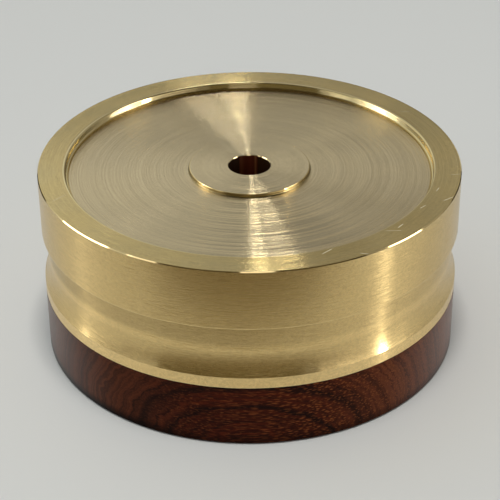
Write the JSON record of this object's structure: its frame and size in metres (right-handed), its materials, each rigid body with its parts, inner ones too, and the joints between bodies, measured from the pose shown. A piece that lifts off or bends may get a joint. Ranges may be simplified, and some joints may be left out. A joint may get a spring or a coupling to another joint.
{
  "type": "record weight",
  "caption": "Turned brass record weight on a flush dark hardwood base, with a raised rim, recessed face, low boss, a neck that flares to a narrow foot and a bore that slips over a turntable spindle.",
  "frame": {"origin": "centre of the wooden base's underside, on the axis of the bore, where the part lies on the record label", "axes": "+Z along the bore axis, up from the record towards the brass rim; X and Y are free, because the part is turned"},
  "size_m": [0.075, 0.075, 0.0342],
  "materials": {
    "brass": "satin, lathe turned",
    "wood": "satin, oiled dark red-brown hardwood"
  },
  "bodies": {
    "root": {"brass_weight": "brass", "wood_base": "wood"}
  },
  "joints": []
}
